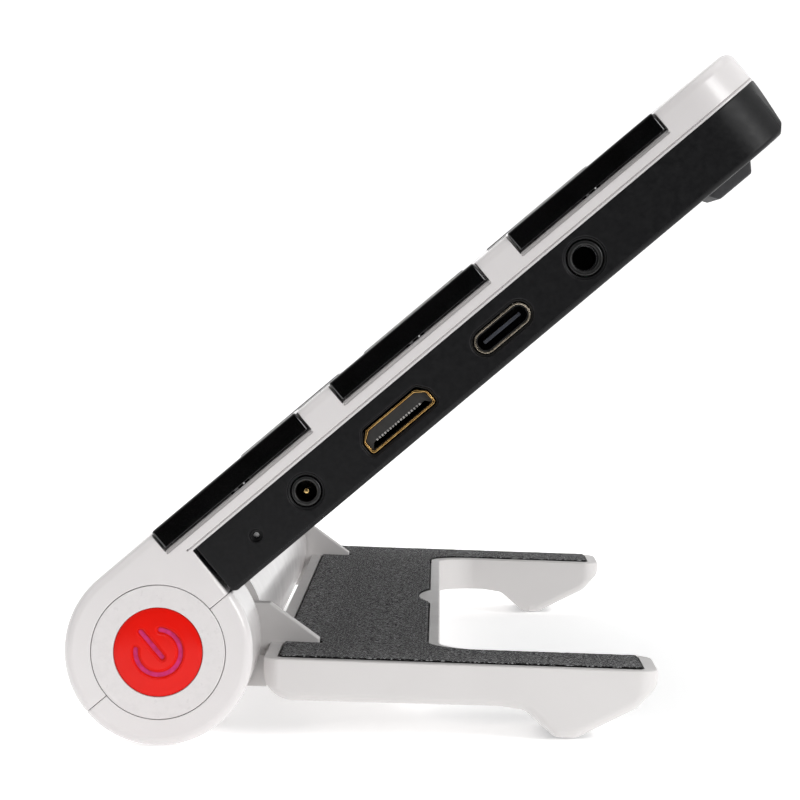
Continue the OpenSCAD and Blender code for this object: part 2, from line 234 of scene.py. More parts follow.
def combine(piece, tools, operation):
    for tool in tools:
        modifier = piece.modifiers.new("solid", "BOOLEAN")
        modifier.operation = operation
        modifier.solver = "EXACT"
        modifier.object = tool
        apply_modifier(piece, modifier)
        bpy.data.objects.remove(tool)
    return piece


def carve(piece, *tools):
    return combine(piece, tools, "DIFFERENCE")


def weld(piece, *others):
    return combine(piece, others, "UNION")


def overlap(piece, *others):
    return combine(piece, others, "INTERSECT")


def round_edges(piece, width, steps, wanted, sharpest=40):
    """Bevels the sharp edges whose two ends pass a test on their place."""
    enter_edit(piece)
    bpy.ops.mesh.select_mode(type="EDGE")
    bpy.ops.mesh.select_all(action="DESELECT")
    shape = bmesh.from_edit_mesh(piece.data)
    limit = math.radians(sharpest)
    for edge in shape.edges:
        if len(edge.link_faces) == 2 and edge.calc_face_angle() > limit:
            edge.select_set(wanted(edge.verts[0].co, edge.verts[1].co))
    bmesh.update_edit_mesh(piece.data)
    bpy.ops.mesh.bevel(offset=width, segments=steps, affect="EDGES", clamp_overlap=False)
    leave_edit()
    return piece


def soften(piece, width=0.15, steps=2, angle=35):
    """A fine round on every sharp edge that is left."""
    modifier = piece.modifiers.new("edges", "BEVEL")
    modifier.width = width
    modifier.segments = steps
    modifier.limit_method = "ANGLE"
    modifier.angle_limit = math.radians(angle)
    modifier.use_clamp_overlap = False
    modifier.miter_outer = "MITER_ARC"
    apply_modifier(piece, modifier)
    return piece


def clean(piece, merge=0.004, flat=True):
    """Merges doubles and clears the extra edges that cutting leaves in flat faces."""
    enter_edit(piece)
    bpy.ops.mesh.remove_doubles(threshold=merge)
    bpy.ops.mesh.dissolve_degenerate(threshold=merge)
    if flat:
        bpy.ops.mesh.dissolve_limited(angle_limit=math.radians(0.2))
    leave_edit()
    return piece


def plan_of_console(name, start, low, high):
    """A plate with the console's plan, its two top corners round."""
    return drawn(name, [(start, -HALF_W), (TOP_S, -HALF_W, CORNER_R), (TOP_S, HALF_W, CORNER_R),
                        (start, HALF_W)], low, high, "Z")


def mirrored(piece, name):
    """A copy on the other side of the middle plane, with its own mesh."""
    copy = piece.copy()
    copy.data = piece.data.copy()
    copy.name = name
    bpy.context.scene.collection.objects.link(copy)
    copy.scale = (1, -1, 1)
    pick(copy)
    bpy.ops.object.transform_apply()
    enter_edit(copy)
    bpy.ops.mesh.normals_make_consistent(inside=False)
    leave_edit()
    return copy


def joined(piece, *others):
    pick(piece, *others)
    bpy.ops.object.join()
    return piece


def repeated(piece, count, step):
    """The piece and its copies in a row along X, as one mesh."""
    row = piece.modifiers.new("row", "ARRAY")
    row.count = count
    row.use_relative_offset = False
    row.use_constant_offset = True
    row.constant_offset_displace = (step, 0, 0)
    apply_modifier(piece, row)
    return piece


def set_down(piece, place, body, slot, stands_for=(), look=None, smooth=35):
    """Puts a finished piece in the object's frame, shades it and hangs it on its body.

    Its finish is the slot's own, unless look names another.
    """
    if len(piece.data.polygons) < FEWEST_FACES:
        raise RuntimeError(f"{piece.name} has come out empty")
    pick(piece)
    piece.matrix_world = place
    bpy.ops.object.transform_apply()
    bpy.ops.object.shade_smooth_by_angle(angle=math.radians(smooth))
    modifier = piece.modifiers.new("even shading", "WEIGHTED_NORMAL")
    modifier.keep_sharp = True
    apply_modifier(piece, modifier)
    piece.data.materials.clear()
    piece.data.materials.append(finish(look or slot))
    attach(piece, body)
    if stands_for:
        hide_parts(*stands_for)
    return piece


# ---- Materials ----


class Finish:
    """A material under construction, with the surface shader and object coordinates ready."""

    def __init__(self, name, colour, roughness, metallic=0.0):
        self.material = bpy.data.materials.new(name)
        self.material.use_nodes = True
        self.nodes = self.material.node_tree.nodes
        self.links = self.material.node_tree.links
        self.shader = self.nodes["Principled BSDF"]
        self.colour = colour
        self.shader.inputs["Base Color"].default_value = (*colour, 1)
        self.shader.inputs["Roughness"].default_value = roughness
        self.shader.inputs["Metallic"].default_value = metallic
        self.place = self.nodes.new("ShaderNodeTexCoord").outputs["Object"]
        self.normal = None

    def noise(self, size_mm, detail=2.0, stretch=(1, 1, 1)):
        """Noise whose grains are about this many millimetres across."""
        mapping = self.nodes.new("ShaderNodeMapping")
        mapping.inputs["Scale"].default_value = stretch
        self.links.new(self.place, mapping.inputs["Vector"])
        texture = self.nodes.new("ShaderNodeTexNoise")
        texture.inputs["Scale"].default_value = 1 / (size_mm * MM)
        texture.inputs["Detail"].default_value = detail
        self.links.new(mapping.outputs[0], texture.inputs["Vector"])
        return texture.outputs["Fac"]

    def spread(self, value, low, high, start=0.3, stop=0.7):
        ranged = self.nodes.new("ShaderNodeMapRange")
        ranged.inputs["From Min"].default_value = start
        ranged.inputs["From Max"].default_value = stop
        ranged.inputs["To Min"].default_value = low
        ranged.inputs["To Max"].default_value = high
        self.links.new(value, ranged.inputs["Value"])
        return ranged.outputs[0]

    def gloss_varies(self, size_mm, low, high):
        self.links.new(self.spread(self.noise(size_mm), low, high), self.shader.inputs["Roughness"])
        return self

    def colour_varies(self, size_mm, other, start=0.35, stop=0.65, detail=2.0, stretch=(1, 1, 1)):
        mix = self.nodes.new("ShaderNodeMix")
        mix.data_type = "RGBA"
        mix.inputs["A"].default_value = (*self.colour, 1)
        mix.inputs["B"].default_value = (*other, 1)
        shares = self.spread(self.noise(size_mm, detail, stretch), 0, 1, start, stop)
        self.links.new(shares, mix.inputs["Factor"])
        self.links.new(mix.outputs["Result"], self.shader.inputs["Base Color"])
        return self

    def bumpy(self, size_mm, height_mm, detail=2.0, stretch=(1, 1, 1)):
        bump = self.nodes.new("ShaderNodeBump")
        bump.inputs["Strength"].default_value = 1.0
        bump.inputs["Distance"].default_value = height_mm * MM
        self.links.new(self.noise(size_mm, detail, stretch), bump.inputs["Height"])
        if self.normal:
            self.links.new(self.normal, bump.inputs["Normal"])
        self.normal = bump.outputs[0]
        self.links.new(self.normal, self.shader.inputs["Normal"])
        return self

    def painted_side_shade(self, shade):
        """Paints shade into the colour: darkens the faces that stand upright, as a painted shadow along
        their edges.
        """
        nodes = self.shader.id_data.nodes
        place = nodes.new("ShaderNodeTexCoord")
        parts = nodes.new("ShaderNodeSeparateXYZ")
        self.links.new(place.outputs["Normal"], parts.inputs[0])
        ramp = nodes.new("ShaderNodeMapRange")
        for socket, value in (("From Min", 0.45), ("From Max", 0.8), ("To Min", shade), ("To Max", 1)):
            ramp.inputs[socket].default_value = value
        self.links.new(parts.outputs["Z"], ramp.inputs["Value"])
        scale = nodes.new("ShaderNodeVectorMath")
        scale.operation = "SCALE"
        source = self.shader.inputs["Base Color"].links[0].from_socket
        self.links.new(source, scale.inputs[0])
        self.links.new(ramp.outputs[0], scale.inputs["Scale"])
        self.links.new(scale.outputs["Vector"], self.shader.inputs["Base Color"])
        return self

    def sets(self, **values):
        for name, value in values.items():
            self.shader.inputs[name.replace("_", " ")].default_value = value
        return self


def tinted(colour, factor):
    return tuple(channel * factor for channel in colour)


_made = {}


def finish(name):
    """The named finish, made the first time that it is asked for."""
    if name not in _made:
        _made[name] = FINISHES[name]().material
    return _made[name]


def gloss_white():
    colour = tuple(bpy.context.scene.console_colours.shell)
    return (Finish("gloss white shell", colour, 0.24)
            .colour_varies(9, tinted(colour, 0.985))
            .gloss_varies(5, 0.22, 0.27).bumpy(3, 0.0004)
            .sets(Coat_Weight=0.2, Coat_Roughness=0.1))


def satin_white():
    colour = tinted(bpy.context.scene.console_colours.shell, 0.99)
    return (Finish("satin white cap", colour, 0.3)
            .colour_varies(0.7, tinted(colour, 0.955), 0.45, 0.75)
            .gloss_varies(1.5, 0.26, 0.36).bumpy(0.35, 0.0015).sets(Coat_Weight=0.1, Coat_Roughness=0.15))


def stand_white():
    colour = tuple(bpy.context.scene.console_colours.stand)
    return (Finish("satin white stand", colour, 0.4)
            .colour_varies(12, tinted(colour, 0.98))
            .gloss_varies(3, 0.36, 0.48).bumpy(0.4, 0.003))


def matte_black():
    return (Finish("matte black housing", (0.0062, 0.0062, 0.0069), 0.42)
            .colour_varies(0.6, (0.0085, 0.0085, 0.0092))
            .gloss_varies(1.2, 0.36, 0.48).bumpy(0.22, 0.005).sets(Specular_IOR_Level=0.22))


def key_black():
    return (Finish("piano black key", tuple(bpy.context.scene.console_colours.keys), 0.07)
            .colour_varies(6, (0.0025, 0.0025, 0.0027))
            .gloss_varies(3, 0.05, 0.1).bumpy(4, 0.002).sets(Coat_Weight=0.5, Coat_Roughness=0.03))


def gloss_red():
    colour = tuple(bpy.context.scene.console_colours.button)
    return (Finish("gloss red button", colour, 0.2)
            .colour_varies(4, tinted(colour, 0.95)).gloss_varies(2, 0.17, 0.23).bumpy(3, 0.0004)
            .sets(Specular_IOR_Level=0.2))


def sign_groove_reflection():
    # Pink painted reflection for the flat floor of the sign's grooves
    return (Finish("pink painted reflection in sign groove", (0.56, 0.02, 0.13), 0.4)
            .colour_varies(0.6, (0.66, 0.03, 0.2)).bumpy(0.4, 0.003).sets(Specular_IOR_Level=0.25))


def felt_grey():
    return (Finish("speckled grey felt", (0.012, 0.012, 0.0125), 0.95)
            # The felt's upright edges get painted shade, darkened to 0.04 of the colour
            .colour_varies(0.42, (0.55, 0.55, 0.555), 0.54, 0.62, 1.0, (1, 6, 1)).painted_side_shade(0.04)
            .bumpy(0.45, 0.12, 3.0).bumpy(1.6, 0.08)
            .sets(Sheen_Weight=0.04, Sheen_Roughness=0.5, Specular_IOR_Level=0.1))


def screen_glass():
    return (Finish("black screen glass", (0.004, 0.004, 0.0045), 0.05)
            .colour_varies(18, (0.005, 0.005, 0.0062)).gloss_varies(14, 0.035, 0.07)
            .bumpy(10, 0.001).sets(Coat_Weight=0.6, Coat_Roughness=0.02))


def screen_area():
    return (Finish("dark screen area", (0.011, 0.012, 0.016), 0.12)
            .colour_varies(0.3, (0.014, 0.015, 0.02)).gloss_varies(8, 0.1, 0.16)
            .sets(Coat_Weight=0.8, Coat_Roughness=0.02))


def steel(name, colour, roughness):
    return (Finish(name, colour, roughness, 1.0).colour_varies(1.5, tinted(colour, 0.85))
            .gloss_varies(0.6, roughness - 0.06, roughness + 0.1)
            .bumpy(0.25, 0.003, stretch=(1, 6, 1)))


def socket_gold():
    return (Finish("gold plated shell", (0.72, 0.46, 0.17), 0.22, 1.0)
            .colour_varies(0.8, (0.5, 0.28, 0.09)).gloss_varies(0.5, 0.15, 0.32).bumpy(0.3, 0.003))


def plain_plastic(name, colour, roughness, grain=0.4):
    return (Finish(name, colour, roughness).colour_varies(1.2, tinted(colour, 0.8))
            .gloss_varies(1.0, roughness - 0.05, roughness + 0.08).bumpy(grain, 0.006))


def board_green():
    return (Finish("green solder mask", (0.01, 0.1, 0.035), 0.35)
            .colour_varies(1.1, (0.02, 0.17, 0.06), 0.48, 0.52).bumpy(1.1, 0.02).sets(Coat_Weight=0.4))


FINISHES = {
    "gloss_white": gloss_white,
    "satin_white": satin_white,
    "stand_white": stand_white,
    "matte_black": matte_black,
    "key_black": key_black,
    "gloss_red": gloss_red,
    "sign_groove_reflection": sign_groove_reflection,
    "felt_grey": felt_grey,
    "display_glass": screen_glass,
    "screen_area": screen_area,
    "board_green": board_green,
    "socket_gold": socket_gold,
    "panel_metal": lambda: steel("pressed sheet steel", (0.6, 0.6, 0.6), 0.35),
    "socket_steel": lambda: steel("drawn steel rim", (0.62, 0.62, 0.64), 0.2),
    "hinge_steel": lambda: steel("plated hinge steel", (0.58, 0.58, 0.6), 0.3),
    "screw_steel": lambda: steel("blackened screw steel", (0.14, 0.14, 0.15), 0.4),
    "contact_gold": lambda: steel("gold contacts", (0.8, 0.55, 0.22), 0.25),
    "cable_amber": lambda: plain_plastic("amber flex cable", (0.5, 0.2, 0.03), 0.4),
    "battery_wrap": lambda: plain_plastic("grey battery wrap", (0.3, 0.31, 0.33), 0.5),
    "socket_black": lambda: plain_plastic("black nylon", (0.008, 0.008, 0.008), 0.35),
    "core_grey": lambda: plain_plastic("dark grey nylon", (0.022, 0.021, 0.02), 0.5),
    "contact_tin": lambda: steel("tin plated contacts", (0.75, 0.73, 0.7), 0.4),
    "warm_steel": lambda: steel("warm plated rim", (0.78, 0.68, 0.54), 0.24),
    "tongue_grey": lambda: plain_plastic("blue grey socket tongue", (0.05, 0.055, 0.07), 0.45),
    "key_silicone": lambda: plain_plastic("grey silicone", (0.25, 0.25, 0.27), 0.6),
    "foot_rubber": lambda: plain_plastic("grey black rubber", (0.05, 0.05, 0.053), 0.7, 0.3),
}

# ---- Pieces of the console ----


def arm_slots(depth_s, top_n):
    """Cutters for the two gaps that the hinge arms swing through."""
    for side in (-1, 1):
        low_y, high_y = sorted((side * SLOT_Y[0], side * SLOT_Y[1]))
        yield block("arm slot", (6, low_y, -1), (depth_s, high_y, top_n))


def plan_ring(name, inset, low, high):
    """A band round the console's plan, this far into its sides."""
    outer = drawn(name, [
        (WEB_S - 0.45, -HALF_W - 3), (TOP_S + 3, -HALF_W - 3, CORNER_R + 3),
        (TOP_S + 3, HALF_W + 3, CORNER_R + 3), (WEB_S - 0.45, HALF_W + 3)], low, high, "Z")
    inner = drawn("inner", [
        (-1, -HALF_W + inset), (TOP_S - inset, -HALF_W + inset, CORNER_R - inset),
        (TOP_S - inset, HALF_W - inset, CORNER_R - inset), (-1, HALF_W - inset)],
        low - 1, high + 1, "Z")
    return carve(outer, inner)


def size_of(name):
    """One of the sizes that a user can set, in millimetres."""
    return getattr(bpy.context.scene.console_sizes, name) / MM


def build_front_shell():
    r = BARREL_R
    shell = drawn("front_case", [
        (WEB_S, 0), (WEB_S, SPLIT_N), (TOP_S, SPLIT_N), (TOP_S, r), (-r, r, r), (-r, 0),
    ], -HALF_W, HALF_W)
    overlap(shell, plan_of_console("plan", -20, -1, r + 1))
    clean(shell)
    round_edges(shell, size_of("rim_round"), 7, lambda a, b: max(a.z, b.z) > 0.05 and (
        min(a.z, b.z) > SPLIT_N + 0.01 or max(a.x, b.x) < 0.01), 60)
    overlap(shell, drawn("top round", [
        (-20, -1), (TOP_S + 1, -1), (TOP_S + 1, SPLIT_N + 1), (TOP_S, SPLIT_N + 1),
        (TOP_S, r, size_of("top_round")), (60, r), (60, r + 1), (-20, r + 1)], -95, 95))
    glass_low, glass_high = span("display_glass")
    carve(
        shell,
        rod("cavity", CAVITY_R, (0, -HALF_W + END_WALL, 0), (0, HALF_W - END_WALL, 0), 96),
        rod("end holes", CAP_R + 0.07, (0, -HALF_W - 1, 0), (0, HALF_W + 1, 0), 96),
        block("plate cavity", (8, -PLATE_Y, SPLIT_N - 1), (TOP_S - WALL, PLATE_Y, glass_low.z - 0.5)),
        block("barrel opening", (0, -62, -1), (CAVITY_R - 2, 62, SPLIT_N)),
        block("window", (glass_low.x + 1.4, -74, glass_low.z - 1), (glass_high.x - 1.4, 74, r + 1)),
        *arm_slots(WEB_S + 1, 5.2),
        drawn("glass seat", [
            (glass_low.x - 0.1, glass_low.y - 0.1, 3), (glass_high.x + 0.1, glass_low.y - 0.1, 3),
            (glass_high.x + 0.1, glass_high.y + 0.1, 3), (glass_low.x - 0.1, glass_high.y + 0.1, 3),
        ], glass_low.z, r + 2, "Z"),
    )
    for side, sign in SIDES.items():
        for k in range(1, KEY_COUNT + 1):
            low, high = span(f"key_{side}_{k}")
            inner = (low.y if sign > 0 else high.y) - sign * KEY_GAP
            edges = sorted((inner, sign * (HALF_W + 3)))
            notch = block("notch", (low.x - KEY_GAP, edges[0], NOTCH_N),
                          (high.x + KEY_GAP, edges[1], r + 3))
            round_edges(notch, 0.3, 3, lambda a, b: abs(a.z - b.z) > 1)
            # The outer edge of the notch slopes away, which shows as a pale strip under the key
            edges = sorted((sign * (HALF_W - NOTCH_SLOPE), sign * (HALF_W + 3)))
            slope = block("slope", (low.x - KEY_GAP + 0.05, edges[0], NOTCH_N - NOTCH_SLOPE),
                          (high.x + KEY_GAP - 0.05, edges[1], NOTCH_N + 0.5))
            round_edges(slope, NOTCH_SLOPE - 0.01, 1, lambda a, b: max(a.z, b.z) < NOTCH_N and max(
                abs(a.y), abs(b.y)) < HALF_W)
            middle = ((low.x + high.x) / 2, sign * KEY_STEM_Y)
            carve(shell, notch, slope,
                  rod("stem hole", KEY_STEM_R + 0.1, (*middle, SPLIT_N - 1), (*middle, NOTCH_N + 1), 32))
    carve(shell, plan_ring("lip line", 0.14, SPLIT_N + 0.38, SPLIT_N + 0.49))
    clean(shell)
    round_edges(shell, 0.5, 2, lambda a, b: max(a.z, b.z) < SPLIT_N + 0.01 and min(
        a.x, b.x) > WEB_S - 0.01 and max(a.x, b.x) < WEB_S + 0.01 and abs(a.y) > 89.9
        and abs(b.y) > 89.9, 60)
    soften(shell, 0.16, 2)
    set_down(shell, CONSOLE, "console", "gloss_white", ["front_shell"])


def video_outline(grow=0.0, radius=0.5):
    x, z = VIDEO_AT
    w, h = VIDEO_HALF[0] + grow, VIDEO_HALF[1] + grow
    return [(x - w, z - h, radius), (x + w, z - h, radius), (x + w, z + 0.4, radius),
            (x + w - 1.3, z + h, radius), (x - w + 1.3, z + h, radius), (x - w, z + 0.4, radius)]


def usb_outline(grow=0.0):
    x, z = USB_AT
    w, h = USB_HALF[0] + grow, USB_HALF[1] + grow
    # A hair under a full round, so that each end keeps a short straight side
    r = h - 0.04
    return [(x - w, z - h, r), (x + w, z - h, r), (x + w, z + h, r), (x - w, z + h, r)]


def into_side(at, depth_low, depth_high, radius, name="hole", sides=48):
    """A rod that goes into the right side at a socket's place."""
    return rod(name, radius, (at[0], -HALF_W + depth_low, at[1]),
               (at[0], -HALF_W + depth_high, at[1]), sides)


def back_slots(shell, count, first, pitch, radius, low_y, high_y):
    """A row of slots with round ends through the back, from s = first upwards."""
    for i in range(count):
        low, high = first + i * pitch, first + i * pitch + 2 * radius
        carve(shell, drawn("slot", [
            (low, low_y, radius), (high, low_y, radius), (high, high_y, radius),
            (low, high_y, radius)], BACK_N - 1, BACK_N + WALL + 1, "Z"))


def build_rear_shell():
    shell = drawn("rear_case", [
        (REAR_S, SPLIT_N), (REAR_S, BACK_N + 0.5), (REAR_S + 0.5, BACK_N),
        (TOP_S - 2.5, BACK_N), (TOP_S - 1.2, BACK_N + 1.1), (TOP_S, SPLIT_N),
    ], -HALF_W, HALF_W)
    plan = plan_of_console("plan", REAR_S - 1, BACK_N, SPLIT_N + 1)
    round_edges(plan, 0.8, 4, lambda a, b: max(a.z, b.z) < BACK_N + 0.01 and min(a.x, b.x) > REAR_S
                or abs(a.y - b.y) < 0.01 and max(a.z, b.z) < BACK_N + 0.01)
    overlap(shell, plan)
    clean(shell)
    inner = drawn("inside", [
        (REAR_S + WALL, -HALF_W + WALL), (TOP_S - WALL - 1.2, -HALF_W + WALL, CORNER_R - WALL),
        (TOP_S - WALL - 1.2, HALF_W - WALL, CORNER_R - WALL), (REAR_S + WALL, HALF_W - WALL),
    ], BACK_N + WALL, SPLIT_N + 2, "Z")
    carve(shell, inner)
    # A shallow pocket round each socket, then the hole that the socket fills
    for grow, depth in ((0.5, 0.45), (0.12, 4)):
        carve(
            shell,
            into_side(DC_AT, -1, depth, DC_R + grow), into_side(AUDIO_AT, -1, depth, AUDIO_R + grow),
            drawn("video hole", video_outline(grow, 0.5 + grow), -HALF_W - 1, -HALF_W + depth),
            drawn("usb hole", usb_outline(grow), -HALF_W - 1, -HALF_W + depth),
        )
    carve(shell, into_side(MIC_AT, -1, 0.9, 0.9, sides=32), into_side(MIC_AT, 0, 4, 0.4, sides=16))
    back_slots(shell, 8, 62, 4, 0.8, -18, 18)
    for side in (-1, 1):
        back_slots(shell, 5, 44, 3, 0.6, *sorted((side * 52, side * 68)))
        y = sorted((side * SLOT_Y[0], side * 67))
        carve(shell, block("arm notch", (REAR_S - 1, y[0], BACK_N - 1), (22, y[1], 5.1)))
    for s, y in SCREW_PLACES:
        carve(shell, rod("screw seat", 2.3, (s, y, BACK_N - 1), (s, y, BACK_N + 0.8), 40),
              rod("screw hole", 1.15, (s, y, BACK_N - 1), (s, y, BACK_N + 3), 24))
    soften(clean(shell, flat=False), 0.2, 3)
    set_down(shell, CONSOLE, "console", "matte_black", ["rear_shell"])


def half_barrel(name, low_y, high_y):
    half = rod(name, BARREL_R, (0, low_y, 0), (0, high_y, 0), 128)
    return carve(half, block("front half", (-20, low_y - 1, -0.05), (20, high_y + 1, 20)))


def build_barrel_covers():
    near = half_barrel("barrel_end_right", -HALF_W, -SLOT_Y[1])
    round_edges(near, size_of("rim_round"), 7, lambda a, b: max(a.y, b.y) < -HALF_W + 0.01
                and min(a.z, b.z) < -0.06)
    carve(near, rod("cavity", CAVITY_R, (0, -HALF_W + END_WALL, 0), (0, 0, 0), 96),
          rod("end hole", CAP_R + 0.07, (0, -HALF_W - 1, 0), (0, -HALF_W + 5, 0), 96))
    soften(near, 0.14, 2)
    far = mirrored(near, "barrel_end_left")
    middle = half_barrel("barrel_middle", -SLOT_Y[0], SLOT_Y[0])
    carve(middle, rod("cavity", CAVITY_R, (0, -80, 0), (0, 80, 0), 96))
    soften(middle, 0.14, 2)
    for piece, node in ((near, "barrel_cover_right"), (far, "barrel_cover_left"),
                        (middle, "barrel_cover_middle")):
        set_down(piece, CONSOLE, "console", "gloss_white", [node])


def end_disc(name, hole):
    """A disc with a flange, let into the barrel's right end."""
    face = -HALF_W
    disc = rod(name, CAP_R, (0, face, 0), (0, face + END_WALL + 1.2, 0), 96)
    flange = rod("flange", CAP_R + 1.6, (0, face + END_WALL + 0.05, 0), (0, face + END_WALL + 1.2, 0), 96)
    weld(disc, flange)
    if hole:
        carve(disc, rod("button hole", BUTTON_R + 0.06, (0, face - 1, 0), (0, face + 8, 0), 96))
    return soften(disc, 0.12, 3)


def build_end_caps():
    ring = end_disc("button_ring", True)
    plain = end_disc("plain_cap", False)
    cap = mirrored(plain, "plain_end_cap")
    bpy.data.objects.remove(plain)
    set_down(ring, CONSOLE, "console", "satin_white", ["end_cap_right"])
    set_down(cap, CONSOLE, "console", "satin_white", ["end_cap_left"])


SIGN_ARC_R = 3.1
SIGN_OPENING = (84, 173)
SIGN_BAR = (-1.3, 4.1)


def bar_outline(half):
    r = half
    low, high = SIGN_BAR[0] - half + 0.45, SIGN_BAR[1] + half - 0.45
    return [(-half, low, r), (half, low, r), (half, high, r), (-half, high, r)]


def arc_outline(half):
    """Outline of the open ring, with round ends."""
    start = math.radians(SIGN_OPENING[1]) - TILT
    stop = math.radians(SIGN_OPENING[0] + 360) - TILT

    def along(radius, first, last, count, centre=(0, 0)):
        return [(centre[0] + radius * math.cos(first + (last - first) * i / count),
                 centre[1] + radius * math.sin(first + (last - first) * i / count))
                for i in range(count + 1)]

    def end(angle):
        return SIGN_ARC_R * math.cos(angle), SIGN_ARC_R * math.sin(angle)

    return (along(SIGN_ARC_R + half, start, stop, 48)
            + along(half, stop, stop + math.pi, 10, end(stop))[1:]
            + along(SIGN_ARC_R - half, stop, start, 48)[1:]
            + along(half, start + math.pi, start + 2 * math.pi, 10, end(start))[1:-1])


def sign_cutter(outline, half, top, depth, slope):
    """A cutter that narrows by this slope below the top level."""
    tool = drawn("groove", outline(half), top - 0.5, top)
    enter_edit(tool)
    bpy.ops.mesh.select_mode(type="FACE")
    bpy.ops.mesh.select_all(action="DESELECT")
    shape = bmesh.from_edit_mesh(tool.data)
    for face in shape.faces:
        face.select_set(face.normal.y > 0.9)
    bmesh.update_edit_mesh(tool.data)
    bpy.ops.mesh.inset(thickness=slope, depth=depth)
    leave_edit()
    return tool


def build_power_button():
    """A crowned button in the end ring, its sign cut in as a wide shallow and a narrow deep groove."""
    crown = 0.42
    crown_r = 60.0
    rim_drop = 0.36
    top = -HALF_W - 0.2
    button = rod("power_key", BUTTON_R, (0, top + crown, 0), (0, -HALF_W + 5, 0), 96)
    enter_edit(button)
    bpy.ops.mesh.select_mode(type="FACE")
    bpy.ops.mesh.select_all(action="DESELECT")
    shape = bmesh.from_edit_mesh(button.data)
    for face in shape.faces:
        face.select_set(face.normal.y < -0.9)
    bmesh.update_edit_mesh(button.data)
    # Each ring in from the rim stands a little higher, so the face is crowned
    rings = [5.95, 5.7, 5.2, 4.4, 3.4, 2.2, 1.0]
    radius, level = BUTTON_R, top + crown
    for ring in rings:
        bpy.ops.mesh.inset(thickness=radius - ring, depth=0)
        rise = top + (rim_drop if ring == rings[0] else ring ** 2 / (2 * crown_r))
        bpy.ops.transform.translate(value=(0, rise - level, 0))
        radius, level = ring, rise
    leave_edit()
    weld(button, rod("skirt", BUTTON_R + 1, (0, -HALF_W + 4.7, 0), (0, -HALF_W + 6, 0), 64))
    for outline in (bar_outline, arc_outline):
        carve(button, sign_cutter(outline, 0.78, top - 0.02, 0.22, 0.2),
              sign_cutter(outline, 0.56, top - 0.02, 0.55, 0.16))
    set_down(button, CONSOLE, "power_button", "gloss_red", ["power_button"], smooth=40)
    # Pink strips on the groove floors: a painted reflection of the light that each flat floor gives back
    lines = [soften(drawn("sign_reflection_strip", outline(0.3), top + 0.48, top + 0.7), 0.04, 1)
             for outline in (bar_outline, arc_outline)]
    set_down(joined(*lines), CONSOLE, "power_button", "gloss_red", look="sign_groove_reflection")


def build_keys():
    """Bars with a round stem that goes down through the case."""
    for side, sign in SIDES.items():
        for k in range(1, KEY_COUNT + 1):
            low, high = span(f"key_{side}_{k}")
            bar = block(f"side_key_{side}_{k}", (low.x, low.y, KEY_FOOT_N), high)
            round_edges(bar, size_of("key_round"), 4, lambda a, b: max(a.z, b.z) > KEY_FOOT_N + 0.2)
            round_edges(bar, 0.08, 2, lambda a, b: max(a.z, b.z) < KEY_FOOT_N + 0.2, 60)
            stem_x = (low.x + high.x) / 2
            stem_y = (low.y + high.y) / 2 - sign * 0.1
            weld(bar, rod("stem", KEY_STEM_R, (stem_x, stem_y, low.z),
                          (stem_x, stem_y, KEY_FOOT_N + 0.53), 32))
            set_down(bar, CONSOLE, f"key_{side}_{k}", "key_black", [f"key_{side}_{k}"])


def build_display():
    low, high = span("display_glass")
    glass = drawn("screen_glass", [
        (low.x, low.y, 3), (high.x, low.y, 3), (high.x, high.y, 3), (low.x, high.y, 3),
    ], low.z, high.z, "Z")
    soften(glass, 0.14, 3)
    set_down(glass, CONSOLE, "console", "display_glass", ["display_glass"])
    area = drawn("screen_picture", [
        (low.x + 5.5, -71.5, 0.5), (high.x - 5.5, -71.5, 0.5), (high.x - 5.5, 71.5, 0.5),
        (low.x + 5.5, 71.5, 0.5)], high.z - 0.3, high.z + 0.012, "Z")
    set_down(area, CONSOLE, "console", "display_glass", look="screen_area")


def build_dc_socket():
    ring = into_side(DC_AT, 0.25, 9, DC_R, "dc_barrel", 64)
    carve(ring, into_side(DC_AT, -1, 8, 1.45))
    soften(ring, 0.22, 3)
    set_down(ring, CONSOLE, "console", "socket_black", ["dc_socket"])
    pin = into_side(DC_AT, 1.0, 8.1, 0.37, "dc_pin", 24)
    soften(pin, 0.12, 3)
    set_down(pin, CONSOLE, "console", "socket_gold", look="contact_gold")


def build_video_socket():
    face = -HALF_W + 0.2
    shell = drawn("video_shell", video_outline(0), face, -HALF_W + 8)
    carve(shell, drawn("mouth", video_outline(-0.28, 0.4), -HALF_W - 1, -HALF_W + 7))
    soften(shell, 0.1, 3)
    set_down(shell, CONSOLE, "console", "socket_gold", ["video_socket"])
    x, z = VIDEO_AT
    # Nylon core with one slot, and the contacts along the slot's edge
    core = drawn("video_core", video_outline(-0.29, 0.4), face + 0.45, -HALF_W + 7)
    carve(core, block("slot", (x - 4.5, -HALF_W - 1, z - 1.15), (x + 4.5, -HALF_W + 6, z - 0.5)))
    soften(core, 0.1, 2)
    set_down(core, CONSOLE, "console", "socket_black", look="core_grey")
    contact = block("video_contacts", (x - 4.0, face + 0.4, z - 0.5), (x - 3.74, face + 3, z - 0.22))
    row = repeated(contact, 17, 0.47)
    set_down(row, CONSOLE, "console", "socket_steel", look="contact_tin")


